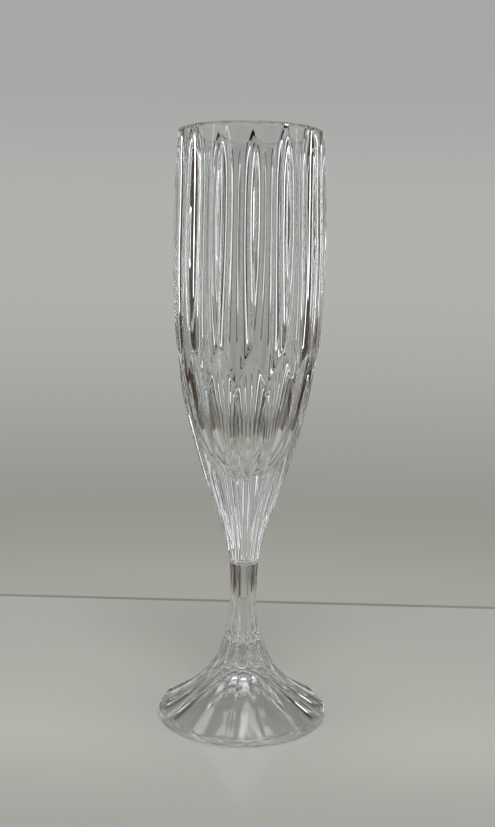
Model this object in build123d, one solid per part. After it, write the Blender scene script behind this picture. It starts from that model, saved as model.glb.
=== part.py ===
from build123d import *
import math
import os

# Champagne flute in clear crystal, made of three glass pieces fused end to end:
# a tapering bowl, a short solid stem and a flared hollow foot.
# The same number of flutes runs all the way down the glass. The bowl's wide upright
# panels meet the lower flutes in a zigzag, because the lower flutes are turned by
# half a pitch. Millimetres, +Z up, origin at the middle of the rest plane.

# ---- driving dimensions ----
height = 225.0            # rest plane to rim
flute_count = 14
pitch = 360.0 / flute_count
upper_ridge_angle = -90.0                           # one ridge of the upper panels faces -Y
lower_ridge_angle = upper_ridge_angle + pitch / 2   # the lower flutes' ridges sit between

foot_radius = 32.8
foot_edge_rounding = 0.4
foot_seam_z = 30.2        # foot fused to stem
bowl_seam_z = 61.5        # stem fused to bowl
seam_bevel = 0.25         # small bevel on both sides of each fused seam
seam_bevel_height = 0.6

rim_bevel = 0.35          # softens the outside of the rim
rim_bevel_height = 0.5
rim_rounding = 0.5        # rounds the inside of the rim
blank_radius = 40.0       # wider than the bowl anywhere

# Stations of a fluted surface are (height, radius of the ridges, depth of the flutes).
# The upper panels are ground deepest halfway up and run out towards the rim.
upper_stations = [
    (118.0, 24.2, 1.0),
    (132.0, 26.2, 1.0),
    (145.5, 27.7, 1.2),
    (166.0, 28.95, 1.7),
    (183.0, 29.3, 2.0),
    (200.0, 28.85, 2.0),
    (214.0, 28.2, 1.6),
    (220.0, 27.85, 1.1),
    (height - rim_bevel_height, 27.5, 0.6),
]
lower_stations = [
    (bowl_seam_z + seam_bevel_height, 5.85, 0.3),
    (78.0, 9.85, 0.75),
    (94.0, 15.5, 1.35),
    (112.0, 21.05, 1.9),
    (130.0, 25.2, 1.6),
    (146.0, 28.7, 1.1),
    (160.0, 31.6, 1.05),
]
stem_stations = [
    (foot_seam_z + seam_bevel_height, 7.15, 0.35),
    (38.0, 5.75, 0.25),
    (49.5, 5.12, 0.22),
    (bowl_seam_z - seam_bevel_height, 5.6, 0.25),
]
foot_stations = [
    (0.0, 38.5, 2.7),
    (5.0, 29.7, 2.3),
    (9.8, 22.3, 1.8),
    (14.2, 16.8, 1.3),
    (19.0, 12.8, 0.9),
    (24.5, 9.75, 0.6),
    (foot_seam_z - seam_bevel_height, 7.85, 0.4),
]

# Inner outline of the bowl, from the rim down to the bottom of its hollow: (radius, height).
cavity_outline = [
    (25.55, height),
    (25.7, 183.0),
    (24.9, 150.0),
    (20.9, 124.0),
    (12.9, 104.0),
    (0.0, 95.5),
]
# Outline of the hollow under the foot, from the rest ring up to its rounded top.
foot_hollow_outline = [
    (29.2, 0.0),
    (21.0, 5.6),
    (12.8, 10.8),
    (0.0, 15.0),
]


def point_at(radius, angle, z):
    turn = math.radians(angle)
    return Vector(radius * math.cos(turn), radius * math.sin(turn), z)


def fluted_section(z, ridge_radius, depth, ridge_angle):
    """Level face bounded by hollow-ground flutes that meet in ridges."""
    arcs = []
    for index in range(flute_count):
        start = ridge_angle + index * pitch
        arcs.append(ThreePointArc(
            point_at(ridge_radius, start, z),
            point_at(ridge_radius - depth, start + pitch / 2, z),
            point_at(ridge_radius, start + pitch, z),
        ))
    return Face(Wire(arcs))


def fluted_body(stations, ridge_angle, ruled=False):
    sections = [fluted_section(*station, ridge_angle) for station in stations]
    return loft(sections, ruled=ruled)


def bevelled_end(station, end_z, bevel, ridge_angle):
    """Short collar between a body's end station and its slightly smaller end face."""
    z, ridge_radius, depth = station
    end_station = (end_z, ridge_radius - bevel, depth)
    return fluted_body(sorted([station, end_station]), ridge_angle, ruled=True)


def disc(z_low, z_high, radius):
    align_base = (Align.CENTER, Align.CENTER, Align.MIN)
    return Pos(0, 0, z_low) * Cylinder(radius, z_high - z_low, align=align_base)


def hollow(outline, entry_direction):
    """Round plug inside a smooth outline whose last point is on the axis and level there."""
    curve = Spline(
        *[(radius, 0, z) for radius, z in outline],
        tangents=[entry_direction, (-1, 0, 0)],
    )
    entry_radius, entry_z = outline[0]
    top_of_axis = (0, 0, entry_z)
    profile = Wire([
        curve,
        Line(curve @ 1, top_of_axis),
        Line(top_of_axis, (entry_radius, 0, entry_z)),
    ])
    return revolve(Face(profile), Axis.Z)


def make_bowl():
    """Crystal bowl: upper panels and lower flutes both cut from one blank, then hollowed."""
    panelled = (
        fluted_body(upper_stations, upper_ridge_angle)
        + bevelled_end(upper_stations[-1], height, rim_bevel, upper_ridge_angle)
        + disc(bowl_seam_z, upper_stations[0][0], blank_radius)
    )
    fluted = (
        fluted_body(lower_stations, lower_ridge_angle)
        + bevelled_end(lower_stations[0], bowl_seam_z, seam_bevel, lower_ridge_angle)
        + disc(lower_stations[-1][0], height, blank_radius)
    )
    bowl = (panelled & fluted) - hollow(cavity_outline, (0, 0, -1))
    rim_edges = bowl.edges().filter_by_position(Axis.Z, height - 0.01, height + 0.01)
    inner_edge = rim_edges.filter_by(GeomType.CIRCLE).sort_by(SortBy.LENGTH)[-1]
    return fillet(inner_edge, rim_rounding)


def make_stem():
    """Solid fluted rod that waists in the middle and flares to the foot."""
    return (
        fluted_body(stem_stations, lower_ridge_angle)
        + bevelled_end(stem_stations[0], foot_seam_z, seam_bevel, lower_ridge_angle)
        + bevelled_end(stem_stations[-1], bowl_seam_z, seam_bevel, lower_ridge_angle)
    )


def make_foot():
    """Flared petalled foot: fluted dome trimmed to a round edge and hollowed from below."""
    dome = (
        fluted_body(foot_stations, lower_ridge_angle)
        + bevelled_end(foot_stations[-1], foot_seam_z, seam_bevel, lower_ridge_angle)
    )
    foot = dome & disc(0, foot_seam_z, foot_radius)
    foot = foot - hollow(foot_hollow_outline, (-1, 0, 0.55))
    outer_edge = foot.edges().filter_by_position(Axis.Z, -0.01, 0.01).sort_by(SortBy.RADIUS)[-1]
    return fillet(outer_edge, foot_edge_rounding)


os.makedirs("parts", exist_ok=True)
export_step(make_bowl(), "parts/bowl.step")
export_step(make_stem(), "parts/stem.step")
export_step(make_foot(), "parts/foot.step")
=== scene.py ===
import math

import bpy
import numpy as np
from mathutils import Matrix, Vector


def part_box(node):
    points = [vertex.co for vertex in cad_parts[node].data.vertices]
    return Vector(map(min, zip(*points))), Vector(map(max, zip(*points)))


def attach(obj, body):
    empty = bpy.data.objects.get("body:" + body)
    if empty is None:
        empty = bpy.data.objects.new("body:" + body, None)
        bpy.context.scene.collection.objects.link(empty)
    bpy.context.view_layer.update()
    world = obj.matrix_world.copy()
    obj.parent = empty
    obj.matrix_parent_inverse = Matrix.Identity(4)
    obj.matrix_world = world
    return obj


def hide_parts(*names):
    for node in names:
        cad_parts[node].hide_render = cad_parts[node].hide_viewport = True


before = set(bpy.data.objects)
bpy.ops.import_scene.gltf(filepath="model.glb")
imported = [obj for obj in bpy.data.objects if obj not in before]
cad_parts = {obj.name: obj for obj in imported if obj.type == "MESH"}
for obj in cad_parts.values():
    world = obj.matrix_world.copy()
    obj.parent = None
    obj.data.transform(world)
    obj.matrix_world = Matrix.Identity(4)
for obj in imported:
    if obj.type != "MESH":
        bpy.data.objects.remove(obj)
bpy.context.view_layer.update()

# ---------------------------------------------------------------- sizes, in metres
MM = 0.001
FLUTES = 14
PITCH = 2 * math.pi / FLUTES
UPPER_RIDGE = 0.0           # angles are counted from -Y towards +X
LOWER_RIDGE = PITCH / 2

RIM_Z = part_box("bowl")[1].z
BOWL_SEAM_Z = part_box("bowl")[0].z
FOOT_SEAM_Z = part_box("foot")[1].z
FOOT_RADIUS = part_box("foot")[1].y

RIM_ROUNDING = 0.5 * MM
SOFT_BAND = 214.0 * MM      # above this height the fire-polished ridges grow rounder
SEAM_BEVEL = 0.25 * MM
RIDGE_ROUNDING = 0.3 * MM
RIM_RIDGE_ROUNDING = 0.5 * MM
FULL_ROUNDING_RADIUS = 20 * MM      # where the glass is narrower, its ridges are crisper
LEAST_ROUNDING = 0.2                # share of the rounding that is left where it is narrowest
FOOT_EDGE_ROUNDING = 0.4 * MM
REST_RING_SHARE = 0.35              # a ring of points across the flat rest ring lies here

# Stations of a fluted surface: height, radius of the ridges, depth of the flutes, in mm.
UPPER = [
    (118.0, 24.2, 1.0),
    (132.0, 26.2, 1.0),
    (145.5, 27.7, 1.2),
    (166.0, 28.95, 1.7),
    (183.0, 29.3, 2.0),
    (200.0, 28.85, 2.0),
    (214.0, 28.2, 1.6),
    (220.0, 27.85, 1.1),
    (224.5, 27.5, 0.6),
]
LOWER = [
    (62.1, 5.85, 0.3),
    (78.0, 9.85, 0.75),
    (94.0, 15.5, 1.35),
    (112.0, 21.05, 1.9),
    (130.0, 25.2, 1.6),
    (146.0, 28.7, 1.1),
    (160.0, 31.6, 1.05),
]
STEM = [
    (30.8, 7.15, 0.35),
    (38.0, 5.75, 0.25),
    (49.5, 5.12, 0.22),
    (60.9, 5.6, 0.25),
]
FOOT = [
    (0.0, 38.5, 2.7),
    (5.0, 29.7, 2.3),
    (9.8, 22.3, 1.8),
    (14.2, 16.8, 1.3),
    (19.0, 12.8, 0.9),
    (24.5, 9.75, 0.6),
    (29.6, 7.85, 0.4),
]
# Hollows of revolution, from their mouth to the axis: radius, height, in mm.
CAVITY = [(25.55, 225.0), (25.7, 183.0), (24.9, 150.0), (20.9, 124.0), (12.9, 104.0), (0.0, 95.5)]
FOOT_HOLLOW = [(29.2, 0.0), (21.0, 5.6), (12.8, 10.8), (0.0, 15.0)]


# ---------------------------------------------------------------- curves and flutes
def spline(knots, values, at, start=None, end=None):
    """Smooth curve through the values, with its end slopes given or left free."""
    x, y = np.asarray(knots, float), np.asarray(values, float)
    n, h = len(x), np.diff(x)
    matrix, right = np.zeros((n, n)), np.zeros(n)
    for i in range(1, n - 1):
        matrix[i, i - 1:i + 2] = 1 / h[i - 1], 2 / h[i - 1] + 2 / h[i], 1 / h[i]
        right[i] = 3 * ((y[i] - y[i - 1]) / h[i - 1]**2 + (y[i + 1] - y[i]) / h[i]**2)
    for row, beside, slope, span in ((0, 1, start, 0), (n - 1, n - 2, end, n - 2)):
        matrix[row, row] = 1 if slope is not None else 2
        matrix[row, beside] = 0 if slope is not None else 1
        right[row] = slope if slope is not None else 3 * (y[span + 1] - y[span]) / h[span]
    slopes = np.linalg.solve(matrix, right)
    i = np.clip(np.searchsorted(x, at, side="right") - 1, 0, n - 2)
    t = (at - x[i]) / h[i]
    return (
        y[i] * (1 + 2 * t) * (1 - t)**2 + slopes[i] * h[i] * t * (1 - t)**2
        + y[i + 1] * t**2 * (3 - 2 * t) - slopes[i + 1] * h[i] * t**2 * (1 - t)
    )


def ridge_and_depth(stations, z):
    heights, ridges, depths = np.array(stations).T * MM
    return spline(heights, ridges, z), spline(heights, depths, z)


LEAST_LEAN = 1e-9           # metres; keeps the arc of an almost flat flute computable


def arc_radius(ridge, valley, turn):
    """Radius, at an angle from a flute's middle, of the arc through its valley and two ridges."""
    lean = ridge * math.cos(PITCH / 2) - valley
    lean = np.where(np.abs(lean) < LEAST_LEAN, LEAST_LEAN, lean)
    centre = (ridge**2 - valley**2) / (2 * lean)
    reach = np.maximum((centre * np.cos(turn))**2 - centre**2 + (centre - valley)**2, 0)
    return centre * np.cos(turn) - np.sign(lean) * np.sqrt(reach)


def smooth_min(a, b, width):
    blend = np.maximum(width - np.abs(a - b), 0) / width
    return np.minimum(a, b) - blend * blend * width / 4


def ridge_rounding(z, ridge):
    """Width over which a ridge is rounded: less where the glass is slender, more at the rim."""
    share = np.clip((z - SOFT_BAND) / (RIM_Z - SOFT_BAND), 0, 1)
    width = RIDGE_ROUNDING + (RIM_RIDGE_ROUNDING - RIDGE_ROUNDING) * share
    return width * np.clip(ridge / FULL_ROUNDING_RADIUS, LEAST_ROUNDING, 1)


def fluted_radius(stations, z, angle, ridge_angle):
    """Radius of a fluted surface, its ridges slightly rounded as on polished glass."""
    ridge, depth = ridge_and_depth(stations, z)
    turn = (angle - ridge_angle) % PITCH - PITCH / 2
    beside = turn - np.where(turn > 0, PITCH, -PITCH)
    valley = ridge - depth
    return smooth_min(
        arc_radius(ridge, valley, turn), arc_radius(ridge, valley, beside),
        ridge_rounding(z, ridge))


def outline(points, spacing, start, end):
    """Evenly read smooth curve through (radius, height) points in mm, with its end directions."""
    points = np.array(points) * MM
    run = np.concatenate([[0], np.cumsum(np.hypot(*np.diff(points, axis=0).T))])
    at = np.linspace(0, run[-1], int(run[-1] / spacing))
    return np.stack([spline(run, points[:, k], at, start[k], end[k]) for k in (0, 1)], axis=1)


# ---------------------------------------------------------------- mesh building
COLUMNS_PER_HALF_PITCH = 14
CROWDING = 2.2              # how strongly the columns crowd towards the ridges
BELOW_CREASE_ROWS, ABOVE_CREASE_ROWS, SOFT_BAND_ROWS, LIP_ROWS = 80, 52, 12, 13
STEM_ROWS, PETAL_ROWS, FOOT_EDGE_ROWS, SEAM_RINGS = 40, 70, 7, 6
CAVITY_SPACING, FOOT_HOLLOW_SPACING = 1.8 * MM, 1.0 * MM
HALVINGS = 40               # of the span in which a height is searched


def column_angles():
    """Angles of the mesh columns, closer together beside the ridges of both sets of flutes."""
    share = np.linspace(-1, 1, COLUMNS_PER_HALF_PITCH + 1)[:-1]
    step = 0.5 + 0.5 * np.sign(share) * (1 - (1 - np.abs(share))**CROWDING)
    halves = np.arange(2 * FLUTES)[:, None]
    return ((halves + step[None, :]) * PITCH / 2).ravel()


def rings_at(radius, z, angles):
    """Rows of points from arrays of radius and height, one value per row and column."""
    radius, z = np.broadcast_arrays(radius, z)
    return np.stack([radius * np.sin(angles), -radius * np.cos(angles), z], axis=2)


def revolve(outline_points, angles):
    r, z = outline_points[:, 0], outline_points[:, 1]
    return rings_at(r[:, None] + 0 * angles[None, :], z[:, None] + 0 * angles[None, :], angles)


def closed_shell(name, rows, seam_rows):
    """Closed mesh through rings of points whose first and last rows shrink to points on the axis.

    seam_rows counts the rings at the start and at the end that lie in a fused seam.
    """
    rows = np.asarray(rows)
    n_rows, n_cols = rows.shape[:2]
    first_pole = (0, 0, float(rows[0, 0, 2]))
    last_pole = (0, 0, float(rows[-1, 0, 2]))
    points = [first_pole, last_pole] + rows.reshape(-1, 3).tolist()

    def index(row, col):
        return 2 + row * n_cols + col % n_cols

    faces, seam = [], []
    for col in range(n_cols):
        faces.append((0, index(0, col + 1), index(0, col)))
        seam.append(seam_rows[0] > 0)
    for row in range(n_rows - 1):
        in_seam = row < seam_rows[0] - 1 or row >= n_rows - seam_rows[1]
        for col in range(n_cols):
            faces.append((index(row, col), index(row, col + 1),
                          index(row + 1, col + 1), index(row + 1, col)))
            seam.append(in_seam)
    for col in range(n_cols):
        faces.append((1, index(n_rows - 1, col), index(n_rows - 1, col + 1)))
        seam.append(seam_rows[1] > 0)
    mesh = bpy.data.meshes.new(name)
    mesh.from_pydata(points, [], faces)
    mesh.polygons.foreach_set("material_index", np.array(seam, np.int32))
    mesh.polygons.foreach_set("use_smooth", ~np.array(seam))
    mesh.update()
    piece = bpy.data.objects.new(name, mesh)
    bpy.context.scene.collection.objects.link(piece)
    return piece


def seam_disc(radius_row, z):
    """Rings that fill a flat seam face out to its fluted edge."""
    shares = np.linspace(0, 1, SEAM_RINGS + 2)[1:-1, None]
    return shares * radius_row[None, :], np.full((SEAM_RINGS, 1), z) + 0 * radius_row


# ---------------------------------------------------------------- the three pieces of glass
def height_where(reached, low, high, angles):
    """Height at which a condition starts to hold between two heights, for each column."""
    low, high = np.full(len(angles), low), np.full(len(angles), high)
    for _ in range(HALVINGS):
        middle = (low + high) / 2
        held = reached(middle)
        low, high = np.where(held, low, middle), np.where(held, middle, high)
    return (low + high) / 2


def crease_heights(angles):
    """Height at which the upper panels take over from the lower flutes, for each column."""
    def upper_wins(z):
        return (fluted_radius(UPPER, z, angles, UPPER_RIDGE)
                < fluted_radius(LOWER, z, angles, LOWER_RIDGE))
    return height_where(upper_wins, 125 * MM, 158 * MM, angles)


def petal_heights(angles):
    """Height at which the petals leave the round edge of the foot, for each column."""
    def inside(z):
        return fluted_radius(FOOT, z, angles, LOWER_RIDGE) <= FOOT_RADIUS
    return height_where(inside, 0.0, 10 * MM, angles)


def bowl_wall_radius(z, angles):
    upper = fluted_radius(UPPER, z, angles, UPPER_RIDGE)
    lower = fluted_radius(LOWER, np.minimum(z, LOWER[-1][0] * MM), angles, LOWER_RIDGE)
    return smooth_min(upper, lower, RIDGE_ROUNDING)


def make_bowl(angles):
    crease = crease_heights(angles)
    base = LOWER[0][0] * MM
    level = crease.mean()
    beside_crease = np.array([0.25, 0.55, 0.9, 1.4]) * MM

    # The rows bend from level to the crease's zigzag as they near it, on both of its sides.
    climb = np.linspace(0, 1, BELOW_CREASE_ROWS)[:, None]
    below = base + (level - base) * climb + (crease - level) * climb**3
    below = np.concatenate([below[:-2], crease - beside_crease[::-1, None], crease[None, :]])
    fall = np.linspace(1, 0, ABOVE_CREASE_ROWS)[:, None]
    above = SOFT_BAND + (level - SOFT_BAND) * fall + (crease - level) * fall**3
    above = np.concatenate([crease + beside_crease[:, None], above[2:]])
    soft_band = np.linspace(SOFT_BAND, RIM_Z - RIM_ROUNDING, SOFT_BAND_ROWS)[1:, None] + 0 * angles
    z = np.concatenate([below, above, soft_band])
    radius = bowl_wall_radius(z, angles)

    seam_radius, seam_z = seam_disc(radius[0] - SEAM_BEVEL, BOWL_SEAM_Z)
    bevel = (radius[0] - SEAM_BEVEL)[None, :], np.full((1, len(angles)), BOWL_SEAM_Z)

    cavity = outline(CAVITY, CAVITY_SPACING, (0, -1), (-1, 0))
    cavity = cavity[cavity[:, 1] < RIM_Z - RIM_ROUNDING][:-1]
    lip = np.radians(np.linspace(0, 180, LIP_ROWS))[1:-1, None]
    inner = cavity[0, 0]
    lip_radius = (radius[-1] + inner) / 2 + (radius[-1] - inner) / 2 * np.cos(lip)
    lip_z = RIM_Z - RIM_ROUNDING + RIM_ROUNDING * np.sin(lip)

    rows = np.concatenate([
        rings_at(seam_radius, seam_z, angles), rings_at(*bevel, angles),
        rings_at(radius, z, angles), rings_at(lip_radius, lip_z, angles), revolve(cavity, angles)])
    return closed_shell("crystal_bowl", rows, (len(seam_radius) + 1, 0))


def make_stem(angles):
    low, high = STEM[0][0] * MM, STEM[-1][0] * MM
    z = np.linspace(low, high, STEM_ROWS)[:, None] + 0 * angles
    radius = fluted_radius(STEM, z, angles, LOWER_RIDGE)
    low_disc = seam_disc(radius[0] - SEAM_BEVEL, FOOT_SEAM_Z)
    high_disc = [part[::-1] for part in seam_disc(radius[-1] - SEAM_BEVEL, BOWL_SEAM_Z)]
    low_edge = (radius[0] - SEAM_BEVEL)[None, :], np.full((1, len(angles)), FOOT_SEAM_Z)
    high_edge = (radius[-1] - SEAM_BEVEL)[None, :], np.full((1, len(angles)), BOWL_SEAM_Z)
    parts = (low_disc, low_edge, (radius, z), high_edge, high_disc)
    rows = np.concatenate([rings_at(*part, angles) for part in parts])
    seam_count = len(low_disc[0]) + 1
    return closed_shell("crystal_stem", rows, (seam_count, seam_count))


def make_foot(angles):
    top = FOOT[-1][0] * MM
    hollow = outline(FOOT_HOLLOW, FOOT_HOLLOW_SPACING, (-1, 0.55), (-1, 0))[::-1][1:]
    ring_radius = hollow[-1, 0]
    edge = np.radians(np.linspace(-90, 0, FOOT_EDGE_ROWS))
    edge_outline = np.stack([
        FOOT_RADIUS - FOOT_EDGE_ROUNDING * (1 - np.cos(edge)),
        FOOT_EDGE_ROUNDING * (1 + np.sin(edge))], axis=1)
    rest = np.array([[ring_radius + REST_RING_SHARE * (FOOT_RADIUS - ring_radius), 0]])
    below = np.concatenate([hollow, rest, edge_outline])

    low = petal_heights(angles)[None, :]
    climb = np.linspace(0, 1, PETAL_ROWS)[:, None]
    z = low + (top - low) * climb
    petal = np.minimum(fluted_radius(FOOT, z, angles, LOWER_RIDGE), FOOT_RADIUS)

    high_disc = [part[::-1] for part in seam_disc(petal[-1] - SEAM_BEVEL, FOOT_SEAM_Z)]
    high_edge = (petal[-1] - SEAM_BEVEL)[None, :], np.full((1, len(angles)), FOOT_SEAM_Z)
    rows = np.concatenate(
        [revolve(below, angles), rings_at(petal, z, angles)]
        + [rings_at(*part, angles) for part in (high_edge, high_disc)])
    return closed_shell("crystal_foot", rows, (0, len(high_disc[0]) + 1))


# ---------------------------------------------------------------- materials
def new_material(name):
    material = bpy.data.materials.new(name)
    material.use_nodes = True
    nodes = material.node_tree.nodes
    nodes.clear()
    output = nodes.new("ShaderNodeOutputMaterial")
    return material, nodes, material.node_tree.links, output


def position(nodes, links, scale, offset=0.0):
    """Object position in metres, stretched per axis, to drive a procedural texture."""
    where = nodes.new("ShaderNodeTexCoord")
    mapping = nodes.new("ShaderNodeMapping")
    mapping.inputs["Scale"].default_value = scale
    mapping.inputs["Location"].default_value = (offset, 0, 0)
    links.new(where.outputs["Object"], mapping.inputs["Vector"])
    return mapping.outputs["Vector"]


def noise(nodes, links, vector, scale, detail):
    texture = nodes.new("ShaderNodeTexNoise")
    texture.inputs["Scale"].default_value = scale
    texture.inputs["Detail"].default_value = detail
    links.new(vector, texture.inputs["Vector"])
    return texture.outputs["Fac"]


def between(nodes, links, factor, low, high, span=(0.3, 0.7)):
    """Value that runs from low to high as a factor runs over its span, by default a noise's."""
    spread = nodes.new("ShaderNodeMapRange")
    spread.inputs["From Min"].default_value = span[0]
    spread.inputs["From Max"].default_value = span[1]
    spread.inputs["To Min"].default_value = low
    spread.inputs["To Max"].default_value = high
    links.new(factor, spread.inputs["Value"])
    return spread.outputs["Result"]


def blend(nodes, links, factor, first, second):
    """Run from a first colour to a second, each an (r, g, b) tuple or a socket."""
    mix = nodes.new("ShaderNodeMix")
    mix.data_type = "RGBA"
    links.new(factor, mix.inputs[0])
    for socket, colour in ((mix.inputs[6], first), (mix.inputs[7], second)):
        if isinstance(colour, tuple):
            socket.default_value = (*colour, 1)
        else:
            links.new(colour, socket)
    return mix.outputs[2]


def gradient(nodes, links, value, stops):
    """Smooth run of colours through (value, colour) stops."""
    first, last = stops[0][0], stops[-1][0]
    ramp = nodes.new("ShaderNodeValToRGB")
    links.new(between(nodes, links, value, 0, 1, (first, last)), ramp.inputs[0])
    ramp.color_ramp.interpolation = "B_SPLINE"
    marks = ramp.color_ramp.elements
    marks.remove(marks[-1])
    for number, (at, rgb) in enumerate(stops):
        share = (at - first) / (last - first)
        mark = marks.new(share) if number else marks[0]
        mark.position = share
        mark.color = (*rgb, 1)
    return ramp.outputs[0]


def bump(nodes, links, height, distance, under=None):
    node = nodes.new("ShaderNodeBump")
    node.inputs["Strength"].default_value = 1.0
    node.inputs["Distance"].default_value = distance
    links.new(height, node.inputs["Height"])
    if under is not None:
        links.new(under, node.inputs["Normal"])
    return node.outputs["Normal"]


# How the crystal of each piece differs: drawn is how far its faint lines are stretched along
# the height (near 0 endless, 1 not at all), clear the share of light that passes a wall.
CRYSTAL = {"bowl": {"drawn": 0.02, "clear": 0.925}, "stem": {"drawn": 0.02, "clear": 0.925},
           "foot": {"drawn": 1.0, "clear": 0.98}}
REFRACTIVE_INDEX = 1.545
MOST_HAZE = 0.008           # the roughness where the polishing haze is strongest
SWELL_HEIGHT = 0.012 * MM
LINE_HEIGHT = 0.002 * MM


def crystal(name, seed, drawn, clear):
    """Crystal with faint drawing lines along the glass and a trace of polishing haze."""
    material, nodes, links, output = new_material(name)
    glass = nodes.new("ShaderNodeBsdfPrincipled")
    glass.inputs["Transmission Weight"].default_value = 1.0
    glass.inputs["IOR"].default_value = REFRACTIVE_INDEX
    offset = 0.3 * seed         # no two pieces share a pattern
    place = position(nodes, links, (1, 1, 1), offset)
    haze = noise(nodes, links, place, scale=90, detail=3.0)
    least, most = (clear - 0.01, clear, clear - 0.005), (clear + 0.01,) * 3
    links.new(blend(nodes, links, haze, least, most), glass.inputs["Base Color"])
    links.new(between(nodes, links, haze, 0.0, MOST_HAZE), glass.inputs["Roughness"])
    waves = noise(nodes, links, place, scale=55, detail=1.0)
    swell = bump(nodes, links, waves, SWELL_HEIGHT)
    along = position(nodes, links, (1, 1, drawn), offset)
    lines = noise(nodes, links, along, scale=620, detail=1.0)
    links.new(bump(nodes, links, lines, LINE_HEIGHT, swell), glass.inputs["Normal"])
    links.new(glass.outputs["BSDF"], output.inputs["Surface"])
    return material


def fused_seam():
    """Nothing is seen of a seam whose two faces have melted together."""
    material, nodes, links, output = new_material("fused_seam")
    clear = nodes.new("ShaderNodeBsdfTransparent")
    links.new(clear.outputs["BSDF"], output.inputs["Surface"])
    return material


# ---------------------------------------------------------------- stage
FLOOR_GAP = 0.15 * MM       # keeps the floor's face clear of the glass's rest face
# The sheet's edges, in metres from the middle of the glass; its trimmed edge starts at TRIM.
FLOOR_BACK, FLOOR_TRIM, FLOOR_FRONT, FLOOR_SIDE = 0.144, 0.140, -0.25, 0.17
FLOOR_TURN = math.radians(-6)
FLOOR_BUMP = 0.003 * MM
FLOOR_WARMTH = (1.0, 0.99, 0.905)
TRIM_SHADE = 0.55           # the trimmed edge's tone as a share of the sheet's

# Painted light on the floor: its tone by distance behind the middle of the glass, in metres,
# lightest just in front of the foot and darker towards the front and the back.
FLOOR_PAINTED_LIGHT = [(-0.25, 0.58), (-0.12, 0.66), (-0.065, 0.80), (-0.03, 0.95), (0.0, 0.90),
               (0.05, 0.855), (0.09, 0.83), (0.14, 0.785)]


def floor_material(name, shade):
    """Smooth pale sheet with painted light: lightest round the foot, darker towards the front and
    the back.
    """
    material, nodes, links, output = new_material(name)
    shader = nodes.new("ShaderNodeBsdfPrincipled")
    place = position(nodes, links, (1, 1, 1))
    axes = nodes.new("ShaderNodeSeparateXYZ")
    links.new(place, axes.inputs[0])
    # painted light: the floor's tone falls off with distance from the foot
    stops = [(y, tuple(shade * tone * warmth for warmth in FLOOR_WARMTH))
             for y, tone in FLOOR_PAINTED_LIGHT]
    links.new(gradient(nodes, links, axes.outputs[1], stops), shader.inputs["Base Color"])
    grain = noise(nodes, links, place, scale=9, detail=4.0)
    links.new(between(nodes, links, grain, 0.1, 0.13), shader.inputs["Roughness"])
    fine = noise(nodes, links, place, scale=420, detail=2.0)
    links.new(bump(nodes, links, fine, FLOOR_BUMP), shader.inputs["Normal"])
    links.new(shader.outputs["BSDF"], output.inputs["Surface"])
    return material


def make_floor():
    """A pale sheet with a darker trimmed edge at the back."""
    mesh = bpy.data.meshes.new("floor")
    corners = [(x, y, -FLOOR_GAP) for y in (FLOOR_FRONT, FLOOR_TRIM, FLOOR_BACK)
               for x in (-FLOOR_SIDE, FLOOR_SIDE)]
    mesh.from_pydata(corners, [], [(0, 1, 3, 2), (2, 3, 5, 4)])
    floor = bpy.data.objects.new("floor", mesh)
    bpy.context.scene.collection.objects.link(floor)
    floor.rotation_euler.z = FLOOR_TURN
    mesh.materials.append(floor_material("pale_floor", 1.0))
    mesh.materials.append(floor_material("floor_edge", TRIM_SHADE))
    mesh.polygons[1].material_index = 1


# The backdrop's tone by elevation, in degrees seen from the glass.
BACKDROP = [
    (-19.5, (0.37, 0.37, 0.33)),
    (-16.7, (0.375, 0.375, 0.335)),
    (-15.0, (0.345, 0.345, 0.310)),
    (-12.5, (0.300, 0.300, 0.270)),
    (-9.8, (0.325, 0.327, 0.302)),
    (-5.0, (0.400, 0.402, 0.380)),
    (0.0, (0.445, 0.448, 0.420)),
    (6.0, (0.430, 0.436, 0.418)),
    (9.5, (0.385, 0.394, 0.388)),
    (15.0, (0.385, 0.392, 0.386)),
]
# Colours of the studio's cards.
BROWN = (0.050, 0.034, 0.021)
UMBER = (0.085, 0.070, 0.057)
TAUPE = (0.135, 0.118, 0.100)
DARK = (0.012, 0.010, 0.008)


def white(level):
    """Slightly cool light."""
    return (level, 1.03 * level, 1.06 * level)


# What stands round the glass, each over those before it, in degrees: middle azimuth, half
# width, low and high edge, softness, colour. Azimuth 0 is +Y, behind the glass, and 180 is -Y,
# towards the camera.
STUDIO = [
    (180, 143, -91, 35, 3.0, (0.27, 0.27, 0.25)),
    (180, 143, 35, 62, 3.0, white(0.22)),
    (-61, 25, -20, 35, 1.0, BROWN),
    (61, 25, -20, 35, 1.0, BROWN),
    (-62, 26, -36, -20, 1.5, TAUPE),
    (62, 26, -36, -20, 1.5, TAUPE),
    (180, 38, -91, 36, 3.0, DARK),
    (0, 38, 17, 36, 2.0, (0.12, 0.11, 0.10)),
    (-28, 11, -23, -12, 0.8, UMBER),
    (28, 11, -23, -12, 0.8, UMBER),
    (-29, 3.5, -13, 18, 0.4, BROWN),
    (29, 3.5, -13, 18, 0.4, BROWN),
    (-12, 1.2, -14, 16, 0.3, DARK),
    (13, 1.2, -14, 16, 0.3, DARK),
    (-20, 0.7, -9, 13, 0.3, white(2.8)),
    (21, 0.7, -9, 13, 0.3, white(2.8)),
    (-38, 1.0, -4, 12, 0.4, white(7.0)),
    (38, 1.0, -4, 12, 0.4, white(7.0)),
    (-71, 1.0, -2, 13, 0.4, white(7.0)),
    (68, 1.0, -2, 12, 0.4, white(7.0)),
    (78, 1.5, -15, 2, 0.5, white(2.5)),
    (-124, 1.5, -12, 12, 0.5, white(7.0)),
    (116, 1.5, 1, 13, 0.5, white(7.0)),
    (180, 26, 52, 68, 1.0, white(6.5)),
    (0, 181, 62, 91, 3.0, white(0.3)),
    (0, 181, 77, 91, 1.5, (3.7, 3.7, 3.7)),
]


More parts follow.
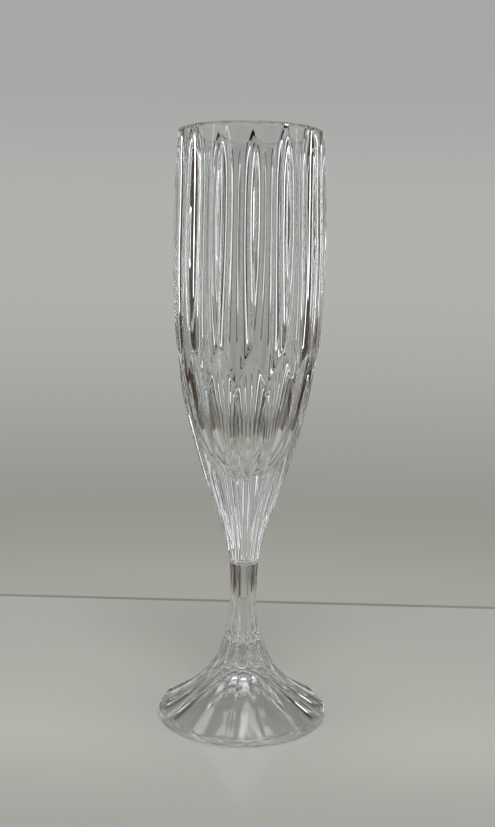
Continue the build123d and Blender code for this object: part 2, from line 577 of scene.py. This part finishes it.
def make_world():
    world = bpy.data.worlds.new("studio")
    bpy.context.scene.world = world
    world.use_nodes = True
    nodes, links = world.node_tree.nodes, world.node_tree.links
    nodes.clear()
    output = nodes.new("ShaderNodeOutputWorld")
    back = nodes.new("ShaderNodeBackground")
    links.new(back.outputs[0], output.inputs["Surface"])
    where = nodes.new("ShaderNodeTexCoord")
    axes = nodes.new("ShaderNodeSeparateXYZ")
    links.new(where.outputs["Generated"], axes.inputs[0])

    def math_node(kind, *values, clamp=False):
        node = nodes.new("ShaderNodeMath")
        node.operation = kind
        node.use_clamp = clamp
        for socket, value in zip(node.inputs, values):
            if isinstance(value, (int, float)):
                socket.default_value = value
            else:
                links.new(value, socket)
        return node.outputs[0]

    azimuth = math_node("MULTIPLY", math_node("ARCTAN2", axes.outputs[0], axes.outputs[1]),
                        180 / math.pi)
    elevation = math_node("MULTIPLY", math_node("ARCSINE", axes.outputs[2]), 180 / math.pi)

    def band(value, middle, half, soft):
        """1 within half of the middle, falling to 0 over the softness on both sides."""
        distance = math_node("ABSOLUTE", math_node("SUBTRACT", value, middle))
        inside = math_node("SUBTRACT", half + soft, distance)
        return math_node("DIVIDE", inside, 2 * soft, clamp=True)

    def patch(middle, half_width, low, high, soft):
        """1 inside a rectangle of directions, with soft edges."""
        turned = math_node("WRAP", math_node("SUBTRACT", azimuth, middle), 180, -180)
        across = band(turned, 0.0, half_width, soft)
        up = band(elevation, (low + high) / 2, (high - low) / 2, soft)
        return math_node("MULTIPLY", across, up)

    backdrop = gradient(nodes, links, elevation, BACKDROP)
    surround = backdrop
    for *place, colour in STUDIO:
        surround = blend(nodes, links, patch(*place), surround, colour)

    # What the camera sees directly is the plain grey backdrop of the studio.
    rays = nodes.new("ShaderNodeLightPath")
    seen = blend(nodes, links, rays.outputs["Is Camera Ray"], surround, backdrop)
    links.new(seen, back.inputs["Color"])


def make_camera():
    """The camera stands in front, a little left of a ridge, and looks slightly down."""
    azimuth, aside, pitch, roll = np.radians((-4.0, -0.073, 7.212, 0.914)).tolist()
    distance, stand = 0.392, 0.169
    camera = bpy.data.cameras.new("camera")
    camera.lens = 44.73
    camera.sensor_width = 36
    camera.dof.use_dof = False
    eye = bpy.data.objects.new("camera", camera)
    bpy.context.scene.collection.objects.link(eye)
    turn = (Matrix.Rotation(azimuth + aside, 4, "Z") @ Matrix.Rotation(math.pi / 2 - pitch, 4, "X")
            @ Matrix.Rotation(roll, 4, "Z"))
    place = Vector((distance * math.sin(azimuth), -distance * math.cos(azimuth), stand))
    eye.matrix_world = Matrix.Translation(place) @ turn
    bpy.context.scene.camera = eye


make_camera()
angles = column_angles()
seam = fused_seam()
makers = (make_bowl, "bowl"), (make_stem, "stem"), (make_foot, "foot")
for number, (make, node) in enumerate(makers):
    piece = make(angles)
    piece.data.materials.append(crystal("crystal_" + node, number, **CRYSTAL[node]))
    piece.data.materials.append(seam)
    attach(piece, "root")
    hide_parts(node)
make_floor()
make_world()

scene = bpy.context.scene
scene.view_settings.view_transform = "Standard"
scene.cycles.max_bounces = 32
scene.cycles.transmission_bounces = 32
scene.cycles.glossy_bounces = 16
scene.cycles.transparent_max_bounces = 16
